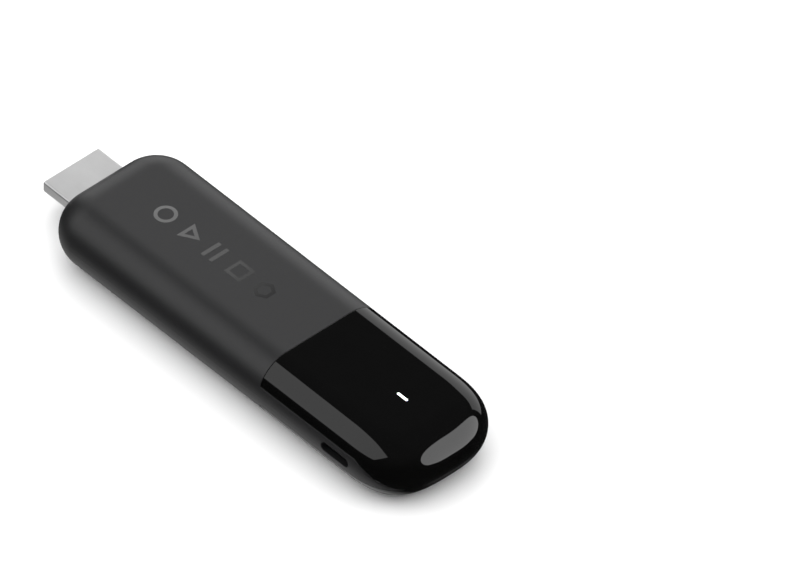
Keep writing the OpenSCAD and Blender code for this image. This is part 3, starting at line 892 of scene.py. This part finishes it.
def makePlugShell():
    shell = plugPrism("plugShell", tipX, faceX + plug["insideLength"], 0, plug)
    startEdit(shell)
    pick(shell, "FACE", lambda f: abs(f.normal.x) > 0.9)
    bpy.ops.mesh.delete(type="ONLY_FACE")
    endEdit()
    useModifier(shell, "SOLIDIFY", thickness=plug["sheet"], offset=-1, use_even_offset=True)
    roundSeam(shell, plug["mouthRound"], lambda p: near(p.x, tipX, 0.02 * mm))
    return shell


# a three-sided cutter for each latch window, its point towards the housing
def latchCutters():
    cutters = []
    for side in (-1, 1):
        clearSelection()
        bpy.ops.mesh.primitive_cylinder_add(
            vertices=3, radius=plug["latchRadius"], depth=plug["latchCut"],
            location=(tipX + plug["latchPlace"], side * plug["latchSpacing"] / 2, plugLow.z),
            rotation=(0, 0, -math.pi / 2))
        cutter = bpy.context.object
        applyPlace(cutter)
        cutters.append(cutter)
    return join("latchCutter", cutters)


# smaller than its window, so a fine gap stays round each tongue
def latchTongues():
    tongues = []
    for side in (-1, 1):
        clearSelection()
        bpy.ops.mesh.primitive_cylinder_add(
            vertices=3, radius=tongue["radius"], depth=tongue["sheet"],
            location=(tipX + plug["latchPlace"] - tongue["shift"],
                      side * plug["latchSpacing"] / 2, plugLow.z + tongue["sheet"]),
            rotation=(0, 0, -math.pi / 2))
        piece = bpy.context.object
        applyPlace(piece)
        startEdit(piece)
        bpy.ops.mesh.select_all(action="SELECT")
        bpy.ops.mesh.bevel(offset=tongue["round"], segments=2, affect="EDGES")
        endEdit()
        tongues.append(piece)
    return join("latchTongues", tongues)


plugShell = makePlugShell()
latchHole = latchCutters()
cut(plugShell, latchHole)
throwAway(latchHole)
smooth(plugShell)
placePiece(plugShell, nickel, "plug_metal", "plug_shell")
latches = latchTongues()
smooth(latches)
placePiece(latches, nickel, "plug_metal")
print("plug made")


mark = {
    "height": 4.6 * mm,
    "line": 0.75 * mm,
    "film": 0.012 * mm,
    "centre": (faceX + 32.3 * mm, 0),
    "spacing": 6.9 * mm,
    "barWidth": 0.9 * mm,
    "barApart": 2.2 * mm,
    "triangle": 1.16,            # drawn larger by this, to look as tall as the ring
    "square": 1.3,
}


def flatRing(name, centre, vertices, radius, line, z, film, turn=0.0):
    clearSelection()
    bpy.ops.mesh.primitive_circle_add(vertices=vertices, radius=radius, fill_type="NGON",
                                      location=(centre[0], centre[1], z), rotation=(0, 0, turn))
    ring = bpy.context.object
    ring.name = name
    applyPlace(ring)
    startEdit(ring)
    bpy.ops.mesh.select_all(action="SELECT")
    bpy.ops.mesh.inset(thickness=line)
    bpy.ops.mesh.delete(type="FACE")
    bpy.ops.mesh.select_all(action="SELECT")
    bpy.ops.mesh.extrude_region_move(TRANSFORM_OT_translate={"value": (0, 0, film)})
    endEdit()
    faceOut(ring)
    return ring


def flatBar(name, centre, size, z, film):
    low = (centre[0] - size[0] / 2, centre[1] - size[1] / 2, min(z, z + film))
    high = (centre[0] + size[0] / 2, centre[1] + size[1] / 2, max(z, z + film))
    bar = addBox(name, low, high)
    startEdit(bar)
    pick(bar, "EDGE", lambda e: abs(e.verts[0].co.z - e.verts[1].co.z) > abs(film) / 2)
    bpy.ops.mesh.bevel(offset=0.2 * min(size), segments=2, profile=0.5, affect="EDGES")
    endEdit()
    return bar


# a row of plain signs: ring, triangle, pair of bars, square, hexagon
def frontMark():
    half = mark["height"] / 2
    z = topZ
    film = mark["film"]
    line = mark["line"]
    x, y = mark["centre"]
    step = mark["spacing"]
    aside = mark["barApart"] / 2
    bar = (mark["barWidth"], mark["height"])
    signs = [
        flatRing("signRing", (x - 2 * step, y), 48, half, line, z, film),
        flatRing("signTriangle", (x - step, y), 3, half * mark["triangle"], line, z, film,
                 -math.pi / 2),
        flatBar("signBarA", (x - aside, y), bar, z, film),
        flatBar("signBarB", (x + aside, y), bar, z, film),
        flatRing("signSquare", (x + step, y), 4, half * mark["square"], line, z, film,
                 math.pi / 4),
        flatRing("signHexagon", (x + 2 * step, y), 6, half, line, z, film),
    ]
    return join("frontMark", signs)


placePiece(frontMark(), markFoil, "matte_housing")
print("front mark made")

# signX, lineStart and lineEnds count millimetres from the housing's end beside the
# plug, and dashes are lengths in millimetres
rearPrint = {
    "film": 0.012 * mm,
    "signSize": 2.8 * mm,
    "signLine": 0.34 * mm,
    "signX": (14.4, 19.2, 24.0, 28.8),
    "signY": (2.3 * mm, -2.4 * mm),
    "lineStart": 32.8,
    "linePitch": 1.18 * mm,
    "lineWidth": 0.4 * mm,
    "lineEnds": (46.2, 50.8, 48.6, 55.0, 53.6, 57.8, 51.4, 56.4, 58.2),
    "dashes": (1.9, 1.2, 2.6, 0.9, 1.6, 2.2, 1.3),
    "dashGap": 0.45 * mm,
}


# two rows of plain signs, each a ring of a few sides with a dash in it
def rearSigns():
    film = -rearPrint["film"]
    size = rearPrint["signSize"] / 2
    line = rearPrint["signLine"]
    shapes = [(40, 1.0), (4, 1.25), (3, 1.15), (6, 1.05)]    # sides, and how much larger
    parts = []
    for row, y in enumerate(rearPrint["signY"]):
        for place, reach in enumerate(rearPrint["signX"]):
            x = faceX + reach * mm
            sides, grow = shapes[(place + row) % 4]
            turn = math.pi / 4 if sides == 4 else math.pi / 2
            parts.append(flatRing("rearSign", (x, y), sides, size * grow, line, 0, film, turn))
            parts.append(flatBar("rearDash", (x, y), (size * 0.7, line), 0, film))
    return join("rearSigns", parts)


# rows of dashes, which stand in for small print without saying anything
def rearLines():
    film = -rearPrint["film"]
    dashes = rearPrint["dashes"]
    rows = len(rearPrint["lineEnds"])
    parts = []
    for row, end in enumerate(rearPrint["lineEnds"]):
        y = (row - (rows - 1) / 2) * rearPrint["linePitch"]
        x = faceX + rearPrint["lineStart"] * mm
        step = row
        while x < faceX + end * mm:
            dash = dashes[step % len(dashes)] * mm
            parts.append(flatBar("rearLine", (x + dash / 2, y),
                                 (dash, rearPrint["lineWidth"]), 0, film))
            x += dash + rearPrint["dashGap"]
            step += 1
    return join("rearLines", parts)


placePiece(rearSigns(), signInk, "matte_housing")
placePiece(rearLines(), lineInk, "matte_housing")
print("rear print made")


ferrite = pressedPowder("pressedFerrite", "#3a3a3c", "#4a4a4c")
ceramic = pressedPowder("ceramicChip", "#8f6a43", "#a67f56")
adhesive = pressedPowder("adhesiveFilm", "#c9c4b6", "#d4cfc2")
ledLens = pressedPowder("ledLens", "#efe6b8", "#f6eecb")
epoxy = mouldedEpoxy()
board = solderMask()
aluminium = rolledAluminium()
pad = siliconePad()
foam = conductiveFoam()

finishes = {
    "light_pipe": lightAcrylic, "status_led": ledLens,
    "front_cover_film": adhesive, "rear_cover_film": adhesive,
    "plug_insulator": connectorPlastic, "plug_contacts": gold, "plug_gasket": foam,
    "usb_shell": tin, "usb_tongue": connectorPlastic, "usb_contacts": gold,
    "main_board": board, "board_screws": tin,
    "processor": epoxy, "memory_chips": epoxy, "flash_memory": epoxy,
    "power_controller": epoxy, "power_inductors": ferrite, "wireless_module": tin,
    "crystals": tin, "capacitors": ceramic,
    "front_shield_frame": tin, "front_shield_lid": tin, "rear_shield_can": tin,
    "processor_thermal_pad": pad, "front_thermal_pad": pad, "rear_thermal_pad": pad,
    "front_heat_spreader": aluminium, "rear_heat_spreader": aluminium,
    "left_antenna": gold, "right_antenna": gold,
}
for name, material in finishes.items():
    dress(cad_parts[name], material)
print("CAD nodes dressed")


studio = {
    "floorSize": 3.0,
    "floorDrop": 0.03 * mm,
    "azimuth": 48.24,
    "elevation": 43.55,
    "viewWidth": 146.6 * mm,
    "aim": (0.8 * mm, 32.0 * mm, -6.8 * mm),
    "distance": 0.6,
}


def makeFloor():
    clearSelection()
    bpy.ops.mesh.primitive_plane_add(size=studio["floorSize"], location=(0, 0, -studio["floorDrop"]))
    floor = bpy.context.object
    floor.name = "floor"
    dress(floor, studioFloor())
    floor.visible_glossy = False
    floor.visible_shadow = False


# a soft box, given by the radiance it should show when it is seen in a gloss face
def softBox(name, place, facing, size, radiance, reflected=True, across=(0, 0, 1),
            shape="RECTANGLE"):
    data = bpy.data.lights.new(name, "AREA")
    data.shape = shape
    data.size, data.size_y = size
    area = size[0] * size[1] * (1 if shape == "RECTANGLE" else math.pi / 4)
    data.energy = radiance * math.pi * area
    lamp = bpy.data.objects.new(name, data)
    bpy.context.scene.collection.objects.link(lamp)
    away = -Vector(facing).normalized()
    side = Vector(across) - away * away.dot(Vector(across))
    side.normalize()
    upward = away.cross(side)
    turn = Matrix((side, upward, away)).transposed()
    lamp.matrix_world = Matrix.Translation(Vector(place)) @ turn.to_4x4()
    lamp.visible_glossy = reflected
    return lamp


# dark all round and faintly grey overhead, with a pale glow from under the near
# side, as from a white table some way below
def makeWorld():
    glow = {"towards": (-0.5, -0.25, -0.83), "from": 0.775, "full": 0.97, "level": 0.74}
    world = bpy.data.worlds.new("studio")
    bpy.context.scene.world = world
    world.use_nodes = True
    tree = world.node_tree
    tree.nodes.clear()
    place = addNode(tree, "ShaderNodeTexCoord")
    split = addNode(tree, "ShaderNodeSeparateXYZ", links={"Vector": place.outputs["Generated"]})
    overhead = addNode(tree, "ShaderNodeMapRange",
                       {"From Min": 0.0, "From Max": 0.7, "To Min": 0.02, "To Max": 0.08},
                       {"Value": split.outputs["Z"]})
    towards = addNode(tree, "ShaderNodeVectorMath",
                      {"operation": "DOT_PRODUCT", 1: glow["towards"]},
                      {0: place.outputs["Generated"]})
    under = addNode(tree, "ShaderNodeMapRange",
                    {"From Min": glow["from"], "From Max": glow["full"], "To Min": 0.0,
                     "To Max": glow["level"]}, {"Value": towards.outputs["Value"]})
    total = addNode(tree, "ShaderNodeMath", {"operation": "ADD"},
                    {0: overhead.outputs["Result"], 1: under.outputs["Result"]})
    shade = addNode(tree, "ShaderNodeBackground", links={"Strength": total.outputs["Value"]})
    addNode(tree, "ShaderNodeOutputWorld", links={"Surface": shade.outputs["Background"]})


def makeCamera():
    data = bpy.data.cameras.new("camera")
    data.type = "ORTHO"
    data.ortho_scale = studio["viewWidth"]
    camera = bpy.data.objects.new("camera", data)
    bpy.context.scene.collection.objects.link(camera)
    turn, rise = math.radians(studio["azimuth"]), math.radians(studio["elevation"])
    back = Vector((math.sin(turn) * math.cos(rise), -math.cos(turn) * math.cos(rise),
                   math.sin(rise)))
    camera.location = Vector(studio["aim"]) + back * studio["distance"]
    camera.rotation_euler = (-back).to_track_quat("-Z", "Y").to_euler()
    bpy.context.scene.camera = camera


bpy.context.scene.view_settings.view_transform = "Standard"
makeFloor()
makeWorld()
softBox("keyPanel", (-0.183, -0.543, 0.3585), (0.475, 0.192, -0.858), (1.06, 0.594), 1.18,
        across=(-0.688, 0.689, -0.2265))
softBox("backPanel", (-0.43, 0.81, 0.185), (0.51, -0.75, -0.1), (1.7, 0.70), 1.0,
        across=(0.8, 0.6, 0))
softBox("endPanel", (0.85, 0.595, 0.20), (-0.85, -0.595, -0.20), (1.25, 1.05), 2.75,
        across=(-0.595, 0.85, 0), shape="ELLIPSE")
topPanel = softBox("topPanel", (-0.52, 0.46, 0.60), (0.52, -0.46, -0.60), (0.7, 0.7), 0.7,
                   across=(0.69, 0.72, 0))
softBox("skyFill", (0, 0, 1.2), (0, 0, -1), (2.4, 2.4), 1.85, reflected=False,
        across=(1, 0, 0))


# a flag keeps this panel's light off the gloss covers, which stay black on top
def flagOff(lamp, *pieces):
    flagged = bpy.data.collections.new("flagged")
    lamp.light_linking.receiver_collection = flagged
    for piece in pieces:
        flagged.objects.link(piece)
    for entry in flagged.collection_objects:
        entry.light_linking.link_state = "EXCLUDE"


flagOff(topPanel, frontCover, rearCover)
makeCamera()
print("studio ready")
